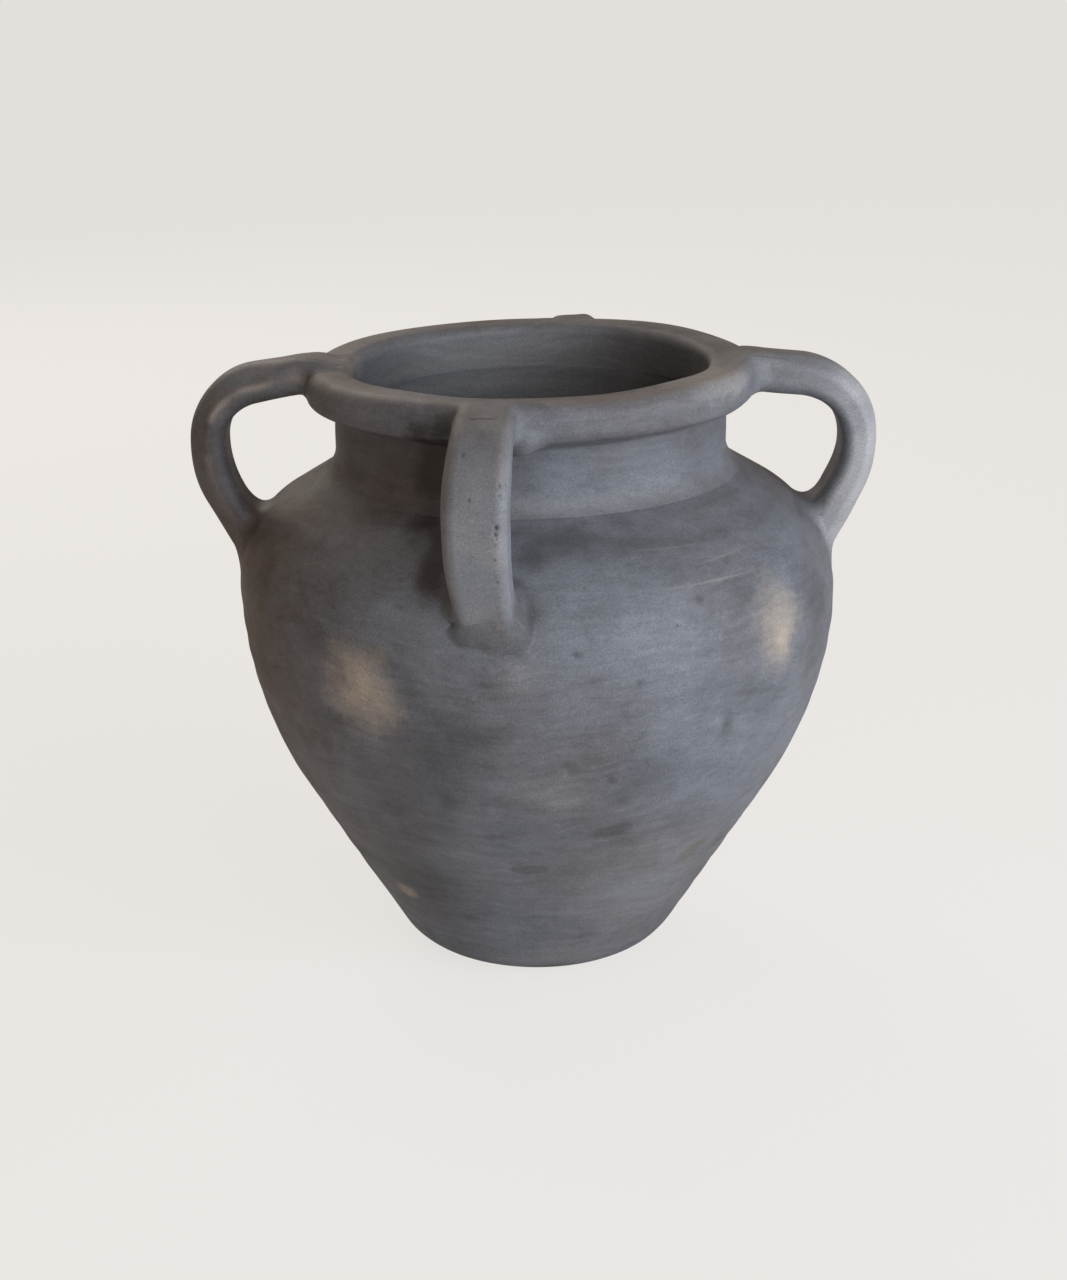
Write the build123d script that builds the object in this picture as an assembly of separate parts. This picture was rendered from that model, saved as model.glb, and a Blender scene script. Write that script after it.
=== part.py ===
from build123d import *

import os
from math import atan2, cos, radians, sin, tan

# A clay olla, put together from separate pieces of clay as a potter builds it: a base slab, a lower wall, a
# shoulder wall, a neck collar, a rim coil, and four strap handles that are luted on with pads of clay.
# Millimetres, +Z up, the pot's axis on Z, and the origin at the centre of the flat underside.

# Body: a straight flank, a rounded belly and a sloping shoulder
BASE_CORNER_RADIUS = 80.5  # where the flank would reach the floor, before its edge is rounded
BASE_ROUNDING = 48.0  # radius of that rounded edge, in section
BELLY_RADIUS = 194.5
BELLY_HEIGHT = 256.0  # floor to the widest circle
FLANK_EASE = 70.0  # how far below the widest circle the straight flank would reach the belly's radius
SHOULDER_EASE = 38.0  # how far above the widest circle the straight shoulder would reach it
SHOULDER_HEIGHT = 79.5  # widest circle to the corner between shoulder and neck

# Neck and rim
NECK_RADIUS = 126.5
NECK_COVE = 20.0  # radius of the hollow at the neck's foot
NECK_HEIGHT = 35.5  # corner at the neck's foot to the underside of the rim
RIM_OVERHANG = 18.5  # how far the rim stands out past the neck
RIM_HEIGHT = 29.0
RIM_UNDERCUT = 7.0  # how much higher the rim's underside is at its outer edge than at the neck
RIM_TOP_ROUNDING = 12.0
RIM_INNER_ROUNDING = 9.0
RIM_LOWER_ROUNDING = 6.0

# Clay thickness, and the bevels where one piece of clay is luted to the next
WALL = 12.0
FLOOR = 14.0
INNER_FLOOR_ROUNDING = 24.0  # radius of the corner between floor and wall, inside
SLAB_EDGE_HEIGHT = 10.0  # height at which the lower wall's outside starts on the slab
SLAB_BEVEL = 4.0  # how much higher the slab's edge is on the inside
BELLY_BEVEL = 10.0  # how much higher the belly joint is on the inside
NECK_TONGUE = 11.0  # how far the neck's pinched edge reaches up into the rim coil

# Handles: a strap that leaves the rim level, bends down and runs in to the shoulder
STRAP_WIDTH = 38.0
STRAP_THICKNESS = 23.0
STRAP_ROUNDING = 10.0
MOST_ROUNDING = 0.48  # largest share of a section's thickness that one rounded edge may take
HANDLE_DROP = 10.5  # rim's top to the strap's centreline
HANDLE_OVERHANG = 15.0  # how far the strap's centreline stands out past the belly
HANDLE_BEND = 42.0  # radius of the upper bend, on the centreline
FOOT_RISE = 28.0  # how far above the widest circle the strap's centreline meets the shoulder
FOOT_SLANT = 28.0  # the strap's lean from upright where it meets the shoulder, in degrees
STRAP_UPRIGHT = 1.0  # straight stretch between the two bends
STRAP_LAP = 12.0  # how far the strap's end laps on to the top of the rim
HANDLE_TWIST = 10.0  # how far the front and back handles sit round from square, in degrees

# Pads of clay round the strap's ends
PAD_EDGE = 1.0  # thickness of a pad's feathered edge on the strap
TOP_PAD_REACH = 14.0  # how far the top pad runs out along the strap from the rim
TOP_PAD_FLARE = 8.0  # how much it stands out from the strap's sides at the rim
TOP_PAD_SET_DOWN = 3.0  # how far its section hangs below the strap's there, so that the strap's top is bare
FOOT_PAD_REACH = 26.0  # how far the foot pad runs up the strap from where the strap meets the shoulder
FOOT_PAD_FLARE = 9.0  # how much it stands out from the strap's sides there
FOOT_PAD_LIFT = 1.0  # how much it stands out from the strap's two faces there

# Heights and corners that follow from the sizes above
NECK_CORNER_HEIGHT = BELLY_HEIGHT + SHOULDER_HEIGHT
RIM_UNDERSIDE = NECK_CORNER_HEIGHT + NECK_HEIGHT
RIM_TOP = RIM_UNDERSIDE + RIM_HEIGHT
RIM_RADIUS = NECK_RADIUS + RIM_OVERHANG
NECK_BORE_RADIUS = NECK_RADIUS - WALL
FAR = 2.0 * (BELLY_RADIUS + RIM_TOP)  # beyond everything

BODY_CORNERS = [
    (0.0, 0.0),
    (BASE_CORNER_RADIUS, 0.0),
    (BELLY_RADIUS, BELLY_HEIGHT - FLANK_EASE),
    (BELLY_RADIUS, BELLY_HEIGHT + SHOULDER_EASE),
    (NECK_RADIUS, NECK_CORNER_HEIGHT),
    (NECK_RADIUS, RIM_TOP),
]


def run_angle(start, end):
    """Direction of a run in the section, in radians from the outward radius."""
    return atan2(end[1] - start[1], end[0] - start[0])


def rounding_for(ease, corners, index):
    """Radius of the arc at a corner that starts a given distance away from it."""
    turn = run_angle(*corners[index:index + 2]) - run_angle(*corners[index - 1:index + 1])
    return ease / tan(abs(turn) / 2)


FLANK_ROUNDING = rounding_for(FLANK_EASE, BODY_CORNERS, 2)
SHOULDER_ROUNDING = rounding_for(SHOULDER_EASE, BODY_CORNERS, 3)


def inset_corners(corners, depths):
    """Corners of the same outline moved inwards, each run by its own depth."""
    lines = []
    for start, end, depth in zip(corners, corners[1:], depths):
        angle = run_angle(start, end)
        lines.append((start[0] - depth * sin(angle), start[1] + depth * cos(angle), angle))
    moved = [(0.0, lines[0][1])]
    for (x, z, angle), (next_x, next_z, next_angle) in zip(lines, lines[1:]):
        along = ((next_x - x) * sin(next_angle) - (next_z - z) * cos(next_angle)) / sin(next_angle - angle)
        moved.append((x + along * cos(angle), z + along * sin(angle)))
    moved.append((lines[-1][0], corners[-1][1]))
    return moved


def filled_outline(corners, roundings):
    """Half section from the axis out to a rounded line of corners, closed over the top."""
    line = FilletPolyline(*corners, radius=roundings)
    top = (0.0, corners[-1][1])
    return make_face([line, Line(corners[-1], top), Line(top, corners[0])])


def spun(section):
    """Solid of revolution of a half section whose x is the radius and whose y is the height."""
    return revolve(Plane.XZ * section, axis=Axis.Z).solid()


def below_joint(point, slope):
    """Everything in the half section below a joint that slopes across the wall and is level inside it."""
    inner_radius = point[0] - 2 * WALL
    inner_height = point[1] - slope * 2 * WALL
    outer_height = point[1] + slope * (FAR - point[0])
    outline = Polyline(
        (0.0, -FAR),
        (FAR, -FAR),
        (FAR, outer_height),
        (inner_radius, inner_height),
        (0.0, inner_height),
        close=True,
    )
    return make_face(outline)


OUTER_ROUNDINGS = [BASE_ROUNDING, FLANK_ROUNDING, SHOULDER_ROUNDING, NECK_COVE]
INNER_ROUNDINGS = [
    INNER_FLOOR_ROUNDING,
    FLANK_ROUNDING - WALL,
    SHOULDER_ROUNDING - WALL,
    NECK_COVE + WALL,
]
body_outline = filled_outline(BODY_CORNERS, OUTER_ROUNDINGS)
CAVITY_CORNERS = inset_corners(BODY_CORNERS, [FLOOR] + [WALL] * 4)
wall_section = body_outline - filled_outline(CAVITY_CORNERS, INNER_ROUNDINGS)


def rim_outline():
    """Section of the rolled rim before the neck's tongue is taken out of it."""
    corners = [
        (NECK_BORE_RADIUS, RIM_UNDERSIDE),
        (NECK_RADIUS, RIM_UNDERSIDE),
        (RIM_RADIUS, RIM_UNDERSIDE + RIM_UNDERCUT),
        (RIM_RADIUS, RIM_TOP),
        (NECK_BORE_RADIUS, RIM_TOP),
    ]
    roundings = [0.0, 0.0, RIM_LOWER_ROUNDING, RIM_TOP_ROUNDING, RIM_INNER_ROUNDING]
    return make_face(FilletPolyline(*corners, radius=roundings, close=True))


def neck_limit():
    """Everything below the neck's upper edge, which is pinched to a wedge."""
    tip = ((NECK_RADIUS + NECK_BORE_RADIUS) / 2, RIM_UNDERSIDE + NECK_TONGUE)
    outline = Polyline(
        (0.0, -FAR),
        (FAR, -FAR),
        (FAR, RIM_UNDERSIDE),
        (NECK_RADIUS, RIM_UNDERSIDE),
        tip,
        (NECK_BORE_RADIUS, RIM_UNDERSIDE),
        (0.0, RIM_UNDERSIDE),
        close=True,
    )
    return make_face(outline)


# Wall pieces, cut from one section by the bevelled joints between them
SHOULDER_ANGLE = run_angle(*BODY_CORNERS[3:5])
NECK_ANGLE = run_angle(*BODY_CORNERS[4:6])
COVE_EASE = NECK_COVE * tan((SHOULDER_ANGLE - NECK_ANGLE) / 2)
NECK_JOINT = (
    NECK_RADIUS - COVE_EASE * cos(SHOULDER_ANGLE),
    NECK_CORNER_HEIGHT - COVE_EASE * sin(SHOULDER_ANGLE),
)
below_slab_joint = below_joint((BASE_CORNER_RADIUS, SLAB_EDGE_HEIGHT), -SLAB_BEVEL / WALL)
below_belly_joint = below_joint((BELLY_RADIUS, BELLY_HEIGHT), -BELLY_BEVEL / WALL)
below_neck_joint = below_joint(NECK_JOINT, -1.0 / tan(SHOULDER_ANGLE))

pieces = {
    "base_slab": spun(wall_section & below_slab_joint),
    "lower_wall": spun((wall_section & below_belly_joint) - below_slab_joint),
    "shoulder_wall": spun((wall_section & below_neck_joint) - below_belly_joint),
    "neck_collar": spun((wall_section & neck_limit()) - below_neck_joint),
    "rim_coil": spun(rim_outline() - neck_limit()),
}

# What trims the straps and the pads: the pot filled in solid, and a plug that keeps its mouth clear
filled_pot = spun(body_outline + rim_outline())
mouth_plug = Pos(Z=RIM_TOP) * Cylinder(RIM_RADIUS - STRAP_LAP, 2 * STRAP_THICKNESS)
trim = filled_pot + mouth_plug

# Centreline of the strap, in the upright plane through the pot's axis
STRAP_HEIGHT = RIM_TOP - HANDLE_DROP
STRAP_REACH = BELLY_RADIUS + HANDLE_OVERHANG
FOOT_HEIGHT = BELLY_HEIGHT + FOOT_RISE
foot_level = Line((0.0, FOOT_HEIGHT), (FAR, FOOT_HEIGHT))
FOOT_RADIUS = (body_outline & foot_level).vertices().sort_by(Axis.X)[-1].X
SLANT = radians(FOOT_SLANT)


def along_foot(distance):
    """Point of the strap's lower run, that far past where it meets the shoulder."""
    return (FOOT_RADIUS - distance * sin(SLANT), FOOT_HEIGHT - distance * cos(SLANT))


def strap_line():
    """Strap's centreline, from within the mouth to its buried end, as a line in radius and height."""
    elbow = along_foot((FOOT_RADIUS - STRAP_REACH) / sin(SLANT))
    elbow_ease = STRAP_HEIGHT - elbow[1] - HANDLE_BEND - STRAP_UPRIGHT
    return FilletPolyline(
        (STRAP_START, STRAP_HEIGHT),
        (STRAP_REACH, STRAP_HEIGHT),
        elbow,
        along_foot(STRAP_THICKNESS),
        radius=[HANDLE_BEND, elbow_ease / tan(SLANT / 2)],
    )


STRAP_START = NECK_BORE_RADIUS / 2
centreline = strap_line()


def across_strap(distance, set_down=0.0):
    """Plane across the strap that far along its centreline, with the strap's width along Y."""
    point = centreline.position_at(distance, position_mode=PositionMode.LENGTH)
    direction = centreline.tangent_at(distance, position_mode=PositionMode.LENGTH)
    return Plane(
        origin=(point.X, 0.0, point.Y - set_down),
        x_dir=(0.0, 1.0, 0.0),
        z_dir=(direction.X, 0.0, direction.Y),
    )


def strap_section(side_margin=0.0, face_margin=0.0):
    """Rounded section of the strap, grown by margins at its two sides and its two faces."""
    width = STRAP_WIDTH + 2 * side_margin
    thickness = STRAP_THICKNESS + 2 * face_margin
    rounding = STRAP_ROUNDING + min(side_margin, face_margin)
    return RectangleRounded(width, thickness, min(rounding, MOST_ROUNDING * thickness))


def strap():
    """Handle strap over +X, swept along its centreline and trimmed to the pot."""
    swept = sweep(across_strap(0.0) * strap_section(), path=Plane.XZ * centreline)
    return (swept - trim).solid()


def top_pad(strap_solid):
    """Clay smeared under and beside the strap where it leaves the rim."""
    sections = []
    for distance, side_margin, set_down in (
        (TOP_PAD_REACH, PAD_EDGE, PAD_EDGE),
        (0.0, TOP_PAD_FLARE, TOP_PAD_SET_DOWN),
        (-STRAP_LAP, TOP_PAD_FLARE + PAD_EDGE, TOP_PAD_SET_DOWN + PAD_EDGE),
    ):
        plane = across_strap(RIM_RADIUS - STRAP_START + distance, set_down)
        sections.append(plane * strap_section(side_margin))
    return (loft(sections) - trim - strap_solid).solid()


def foot_pad(strap_solid):
    """Clay thumbed down round the strap's foot on the shoulder."""
    sections = []
    foot = centreline.length - STRAP_THICKNESS
    for distance, side_margin, face_margin in (
        (-FOOT_PAD_REACH, PAD_EDGE, PAD_EDGE),
        (0.0, FOOT_PAD_FLARE, FOOT_PAD_LIFT),
        (STRAP_THICKNESS, FOOT_PAD_FLARE + PAD_EDGE, FOOT_PAD_LIFT + PAD_EDGE),
    ):
        sections.append(across_strap(foot + distance) * strap_section(side_margin, face_margin))
    return (loft(sections) - trim - strap_solid).solid()


handle = strap()
handle_parts = {"handle": handle, "handle_top_pad": top_pad(handle), "handle_foot_pad": foot_pad(handle)}
azimuths = {"right": 0.0, "back": 90.0 - HANDLE_TWIST, "left": 180.0, "front": 270.0 - HANDLE_TWIST}
for side, azimuth in azimuths.items():
    for name, solid in handle_parts.items():
        pieces[f"{side}_{name}"] = Rot(Z=azimuth) * solid

os.makedirs("parts", exist_ok=True)
for name, solid in pieces.items():
    export_step(solid, f"parts/{name}.step")
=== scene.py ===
from math import radians, tau

import bpy
import numpy as np
from bpy.props import FloatProperty, FloatVectorProperty, PointerProperty
from bpy.types import Operator, Panel, PropertyGroup
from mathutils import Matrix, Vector


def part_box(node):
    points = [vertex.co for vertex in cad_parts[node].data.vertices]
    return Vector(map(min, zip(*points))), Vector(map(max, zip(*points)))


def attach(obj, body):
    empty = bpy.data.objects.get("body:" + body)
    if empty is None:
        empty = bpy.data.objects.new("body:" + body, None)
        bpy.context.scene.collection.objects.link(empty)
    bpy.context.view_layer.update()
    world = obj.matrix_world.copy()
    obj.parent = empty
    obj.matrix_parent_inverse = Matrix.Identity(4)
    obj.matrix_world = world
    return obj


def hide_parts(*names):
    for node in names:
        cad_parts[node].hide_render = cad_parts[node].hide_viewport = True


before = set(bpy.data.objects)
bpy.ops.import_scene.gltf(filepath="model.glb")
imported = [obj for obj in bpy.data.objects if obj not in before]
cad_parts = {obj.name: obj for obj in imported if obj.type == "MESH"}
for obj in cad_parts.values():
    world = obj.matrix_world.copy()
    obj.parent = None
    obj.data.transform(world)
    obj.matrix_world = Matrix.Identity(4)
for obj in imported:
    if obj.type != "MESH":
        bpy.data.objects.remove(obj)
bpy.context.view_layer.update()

bl_info = {
    "name": "Clay olla",
    "version": (1, 0, 0),
    "blender": (4, 5, 0),
    "location": "3D View > Sidebar > Olla",
    "description": "Builds the hand-worked clay surfaces of a four-handled olla over its solid frame",
    "category": "Object",
}

MM = 0.001

# Sizes that the frame gives: the rim, the belly and the heights of the joints, outside and inside
RIM_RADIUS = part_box("rim_coil")[1].x
RIM_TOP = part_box("rim_coil")[1].z
RIM_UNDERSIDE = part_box("rim_coil")[0].z
BELLY_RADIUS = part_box("lower_wall")[1].x
BELLY_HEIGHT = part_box("shoulder_wall")[0].z
SLAB_JOINT = (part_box("lower_wall")[0].z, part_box("base_slab")[1].z)
BELLY_JOINT = (BELLY_HEIGHT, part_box("lower_wall")[1].z)
NECK_JOINT = (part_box("shoulder_wall")[1].z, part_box("neck_collar")[0].z)

# Wall of the pot
WALL = 12.0 * MM
FLOOR = 14.0 * MM
BASE_CORNER_RADIUS = 80.5 * MM
NECK_RADIUS = RIM_RADIUS - 18.5 * MM
NECK_CORNER_HEIGHT = RIM_UNDERSIDE - 35.5 * MM
FLANK_CORNER_HEIGHT = BELLY_HEIGHT - 70.0 * MM
SHOULDER_CORNER_HEIGHT = BELLY_HEIGHT + 38.0 * MM
BORE_RADIUS = NECK_RADIUS - WALL
RIM_SLOPE = 7.0 * MM  # rise of the rim's underside from the neck to its edge

# Handles, in degrees and millimetres. azimuth is where each strap sits. Its centreline leaves the rim at
# height top, sinks by droop on its way out to the radius reach, turns down with the radius bend, turns in
# at height elbow and meets the shoulder at foot, a radius and a height. thick is its thickness at the rim
# and lower down. One corner of its section is cut to a bevel that starts at ridge, so far across, and drops
# by bevel. rounding and worn are for the bevel's upper and lower edge: its radius, and how pale it is
# rubbed, which on the left handle is also a painted highlight. worn_low is the share of that on the falling
# half. ashed is how pale the outer face is with ash, and on the right handle with painted light from the
# lamps, and sway how far it stands to its right at the rim. The smears are the clay round its two ends:
# first how far from the wall it starts on the strap, then how far from the strap it ends on the pot, each on
# the strap's right, its left, its outer face and its inner face.
HANDLES = {
    "front": {
        "azimuth": -98.6, "top": 391, "droop": 6, "reach": 209.5, "bend": 40, "elbow": 330,
        "foot": (186.5, 284.5), "thick": (23.5, 23), "ridge": 14.5, "bevel": 2.8, "rounding": (8, 6),
        "worn": (0.32, 0.1), "worn_low": 1, "ashed": 0.14, "sway": -4.5,
        "rim_smear": ((14, 3, 6, 10), (28, 3, 5, 8)),
        "foot_smear": ((10, 8, 12, 12), (14, 11, 7, 12))},
    "back": {
        "azimuth": 80, "top": 387, "droop": 5, "reach": 209.5, "bend": 42, "elbow": 328,
        "foot": (186.5, 284.5), "thick": (23, 23.5), "ridge": -10, "bevel": 6, "rounding": (9, 6),
        "worn": (0.3, 0.2), "worn_low": 1, "ashed": 0.12, "sway": 2,
        "rim_smear": ((10, 8, 8, 8), (12, 8, 6, 5)),
        "foot_smear": ((8, 8, 8, 10), (9, 9, 9, 10))},
    "left": {
        "azimuth": 180, "top": 395.3, "droop": 11.5, "reach": 208.6, "bend": 36, "elbow": 333,
        "foot": (185.9, 283.7), "thick": (24, 25.3), "ridge": 4, "bevel": 12.5, "rounding": (14, 3.5),
        # The left handle's rubbed line along its ridge is also a painted highlight
        "worn": (0.35, 1), "worn_low": 0.2, "ashed": 0, "sway": 0,
        "rim_smear": ((3, 12, 20, 5), (3, 14, 13, 4)),
        "foot_smear": ((8, 14, 10, 21), (8, 14, 12, 18))},
    "right": {
        "azimuth": 0, "top": 391, "droop": 8, "reach": 212.5, "bend": 44, "elbow": 328,
        "foot": (186.8, 284.8), "thick": (25.4, 23.4), "ridge": -11, "bevel": 6, "rounding": (11, 8),
        # The right handle's pale outer face is painted light from the lamps on its right, with some ash
        "worn": (0, 0), "worn_low": 1, "ashed": 0.55, "sway": 0,
        "rim_smear": ((12, 14, 12, 8), (12, 14, 7, 4)),
        "foot_smear": ((14, 7, 9, 21), (14, 7, 9, 18))},
}

# Straps: how far in from the rim's edge the centreline bends, how far it runs on into the rim and the wall,
# the radius of that bend, where along it the rim ends, and the corner cut off where there is no bevel
STRAP_SEAT = 7.0 * MM
STRAP_RIM_ROOT = np.array([12.0, 10.0]) * MM
STRAP_FOOT_ROOT = 20.0 * MM
STRAP_RIM_BEND = 30.0 * MM
STRAP_RIM_END = 24.0 * MM
STRAP_PLAIN_EDGE = 4.0 * MM
STRAP_CORNERS = (9.0 * MM, 10.5 * MM, 10.0 * MM)  # radii: inner right, outer left and inner left corner
STRAP_CROWN = 1.5 * MM  # how much lower its face lies on the left
# On the left handle this line is also a painted highlight
EDGE_LINE_WIDTH = 3.2 * MM  # half width of the rubbed line along an edge
NICK_WIDTH = 0.9 * MM  # half width of a nick
THIN_FROM = 12.0 * MM  # past the rim, where the strap starts to thin
THIN_TO = 40.0 * MM  # before the foot, where it has thinned

# Distances past the rim between which a strap's section turns plain, it sways, the wear of its falling half
# takes over, and its ash and painted light come on
PLAIN_SPAN = (30.0 * MM, -4.0 * MM)
SWAY_SPAN = (60.0 * MM, -10.0 * MM)
FALL_SPAN = (60.0 * MM, 110.0 * MM)
ASH_AND_LIGHT_SPAN = (20.0 * MM, 75.0 * MM)

# Pads: rows of points, rounds that bring them on to the fillet, the widest spread, and how deep they close
PAD_ROWS = 40
PAD_ROUNDS = 8
PAD_WIDEST = 26.0 * MM
PAD_UNDER = 3.0 * MM
PAD_RUNS = np.arange(0.0, 60.0 * MM, 0.75 * MM)[:, None]  # runs that are tried for its two edges
PAD_NUDGE = 2.0 * MM  # the most that a point moves in one round
PAD_FULL = 24.0 * MM  # reach and spread together at which its swells are full
PAD_SINK = 0.05 * MM  # how much lower all of it lies
PAD_MARGIN = 34.0 * MM  # how far past the rim's two edges the wall is searched for a strap
FOOT_HEIGHTS = (225.0 * MM, 345.0 * MM)  # between which it is searched for a strap's foot
RIM_SEARCH = 30.0 * MM  # how far past the rim, and before the foot, the strap is searched
FOOT_SEARCH = 45.0 * MM
SAMPLE = 0.5 * MM  # spacing of the samples along a line in which the nearest is looked for
END_MARGIN = 1.0 * MM  # how far a line's ends are kept clear of where its direction is read

# Relief of the turned pieces: between which distances along the wall it rises from the flat base and floor,
# where the lean begins, and the swells, strokes and rings that the panel doesn't list
BASE_FADE = (52.0 * MM, 120.0 * MM)
FLOOR_FADE = (40.0 * MM, 110.0 * MM)
LEAN_START = BELLY_HEIGHT - 26.0 * MM
RIM_SWELL = 0.22 * MM
STROKE_COUNT = 420
INSIDE_SWELL = 0.3 * MM
INSIDE_RING = 0.12 * MM
INSIDE_RING_SPACING = 15.0 * MM

# Neck and rim: height of the smeared lip at the neck's foot, its azimuth, and between which distances above
# the foot it comes on. How far under the rim its painted shade reaches, between which distances past the
# rim's top the smoke and painted shade of the inside come on, and the half width of the rubbed edge
LIP_HEIGHT = 0.6 * MM
LIP_AZIMUTH = -72.0
LIP_SPAN = (18.0 * MM, 8.0 * MM)
RIM_SHADE_REACH = 30.0 * MM
SMOKE_AND_SHADE_SPAN = (12.0 * MM, 38.0 * MM)
RIM_RUB_WIDTH = 9.0 * MM

FAR_SIDE = 95.0  # azimuth of the inside that faces the lamps
# The inside's loss of colour is smoke and painted shade
INSIDE_SMOKE_AND_SHADE = 0.76  # how much of the inside's colour is lost to smoke
ROUND_COLUMNS = 512  # points round the pot, 2.4 mm apart on the belly
SECTION_POINTS = 180  # points round a strap
STRAP_SPACING = 0.65 * MM  # distance between its rows


def linear(hex_colour):
    """Linear RGB of an sRGB hex value, by the sRGB curve."""
    srgb = np.array([int(hex_colour[i:i + 2], 16) for i in (1, 3, 5)]) / 255
    return tuple(np.where(srgb <= 0.04045, srgb / 12.92, ((srgb + 0.055) / 1.055) ** 2.4).tolist())


def length(name, description, default, precision=4, **limits):
    """A length of the panel, in metres."""
    return FloatProperty(
        name=name, description=description, default=default, precision=precision, unit="LENGTH", **limits)


def tone(name, description, hex_colour):
    """A colour of the panel."""
    return FloatVectorProperty(
        name=name, description=description, default=linear(hex_colour),
        subtype="COLOR", size=3, min=0.0, max=1.0)


class OllaForm(PropertyGroup):
    """How far the pot is from a true turned shape."""

    lean_shift: length(
        "Lean", "How far the neck and rim sit to one side", -4.6 * MM)
    lean_rise: FloatProperty(
        name="Tilt", description="Rise of the rim for each unit of width", default=0.0236, precision=4)
    out_of_round: length(
        "Out of round", "Height of the broad swells round the wall", 0.7 * MM, min=0.0)
    ring_height: length(
        "Throwing rings", "Height of the shallow rings left by the fingers", 0.16 * MM, min=0.0, precision=5)
    ring_spacing: length(
        "Ring spacing", "Distance from one ring to the next along the wall", 21.0 * MM, min=4.0 * MM)
    stroke_depth: length(
        "Scraper strokes", "Depth of the flat strokes left by the scraper", 0.3 * MM, min=0.0, precision=5)


class OllaStraps(PropertyGroup):
    """Sizes of the handle straps and of the clay smeared round their ends."""

    width: length(
        "Strap width", "Width of a strap, halfway down", 39.5 * MM, min=10.0 * MM)
    end_width: length(
        "End width", "Width of a strap at its two ends", 36.5 * MM, min=10.0 * MM)
    smear: FloatProperty(
        name="Smear", description="How far the clay round a strap's ends is smeared, for each unit listed",
        default=1.0, min=0.2, max=1.5)


class OllaClay(PropertyGroup):
    """Colours of the fired clay, some of which also paint shade and light on it."""

    body: tone("Clay grey", "Burnished clay where the smoke took evenly", "#787b80")
    # Brown haze also paints the shade of the pot's left side, away from the lamps
    haze_and_shade: tone("Brown haze", "Clay with less smoke, where its brown shows through", "#54463c")
    # Smoke black also paints the shade in dents, pits, creases and inside the pot
    smoke_black_and_shade: tone("Smoke black", "Clay with the most smoke in it", "#3c3b3a")
    # Brown soot also paints the shadow that the front handle casts on the neck and shoulder to its left
    soot_and_shadow: tone("Brown soot", "Soot that gathered in the lee of the front handle", "#33291f")
    fire_cloud: tone("Fire cloud", "Pale clay where a flame burned the smoke away", "#c6b59f")
    olive: tone("Olive bloom", "Yellowish bloom low on the wall", "#6b6654")
    # Rubbed clay also paints the highlight along the left handle's ridge
    rub: tone("Rubbed clay", "Clay that is rubbed pale along ridges and scratches", "#a0958b")
    # Ash bloom also paints light: on the right handle's outer face, the inside where the lamps fall, the
    # neck's upturned band, the rim's top on the right, the lower right and the base
    ash: tone("Ash bloom", "Pale cool bloom where ash settled", "#d2cfcb")


def smooth_step(low, high, value):
    """0 at low, 1 at high, and 3t^2 - 2t^3 between them."""
    t = np.clip((value - low) / (high - low), 0.0, 1.0)
    return t * t * (3.0 - 2.0 * t)


def rounded_line(corners, radii, step=0.25 * MM):
    """Straight runs between corners, with a tangent arc at each inner corner.

    An arc starts radius * tan(half the turn) before its corner, about a centre one radius to the side.
    """
    corners = np.array(corners, float)
    points = [corners[:1]]
    for before, corner, after, radius in zip(corners, corners[1:], corners[2:], radii):
        into = (corner - before) / np.linalg.norm(corner - before)
        out = (after - corner) / np.linalg.norm(after - corner)
        turn = np.arctan2(into[0] * out[1] - into[1] * out[0], into @ out)
        start = corner - into * radius * np.tan(abs(turn) / 2)
        centre = start + np.sign(turn) * radius * np.array([-into[1], into[0]])
        angle = np.linspace(0.0, turn, int(abs(turn) * radius / step) + 3)[:, None]
        arm = start - centre
        points.append(centre + np.cos(angle) * arm + np.sin(angle) * np.array([-arm[1], arm[0]]))
    points.append(corners[-1:])
    return np.concatenate(points)


class Line:
    """A plane line, read by the distance along it. side is 1 with clay to its left, and -1 to its right."""

    def __init__(self, points, side=1):
        self.points = points
        self.side = side
        steps = np.linalg.norm(np.diff(points, axis=0), axis=1)
        self.along = np.concatenate([[0.0], np.cumsum(steps)])
        self.length = self.along[-1]

    def at(self, distance):
        """The two coordinates at a distance, between the line's points in proportion."""
        return [np.interp(distance, self.along, self.points[:, axis]) for axis in (0, 1)]

    def tangent_at(self, distance, span=0.6 * MM):
        """Unit direction at a distance, from the points a short span before and after it."""
        ahead, behind = self.at(distance + span), self.at(distance - span)
        run = [a - b for a, b in zip(ahead, behind)]
        size = np.hypot(*run)
        return [part / size for part in run]

    def normal_at(self, distance):
        """Unit direction out of the clay, the tangent turned by a quarter."""
        first, second = self.tangent_at(distance)
        return [self.side * second, -self.side * first]

    def clear(self, distance):
        """Distances kept clear of the line's ends, where it has a direction on both sides."""
        return np.clip(distance, END_MARGIN, self.length - END_MARGIN)

    def nearest(self, samples, first, second):
        """The one of some distances along the line at which it lies nearest to each point of the plane."""
        at_first, at_second = self.at(samples)
        apart = (first[..., None] - at_first) ** 2 + (second[..., None] - at_second) ** 2
        return samples[apart.argmin(-1)]

    def where_height(self, height):
        """Distance at which the rising part of the line reaches a height."""
        rising = slice(0, int(np.argmax(self.points[:, 1])) + 1)
        return float(np.interp(height, self.points[rising, 1], self.along[rising]))


def inset(corners, depths):
    """Corners of a line moved to its left, each run by its own depth, where the moved runs cross."""
    corners = np.array(corners, float)
    runs = np.diff(corners, axis=0)
    directions = runs / np.linalg.norm(runs, axis=1)[:, None]
    lefts = np.stack([-directions[:, 1], directions[:, 0]], axis=1)
    offsets = (corners[:-1] * lefts).sum(1) + np.array(depths)
    crossings = [np.linalg.solve(lefts[i:i + 2], offsets[i:i + 2]) for i in range(len(runs) - 1)]
    ends = [corners[0] + lefts[0] * depths[0], corners[-1] + lefts[-1] * depths[-1]]
    return np.array([ends[0], *crossings, ends[1]])


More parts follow.
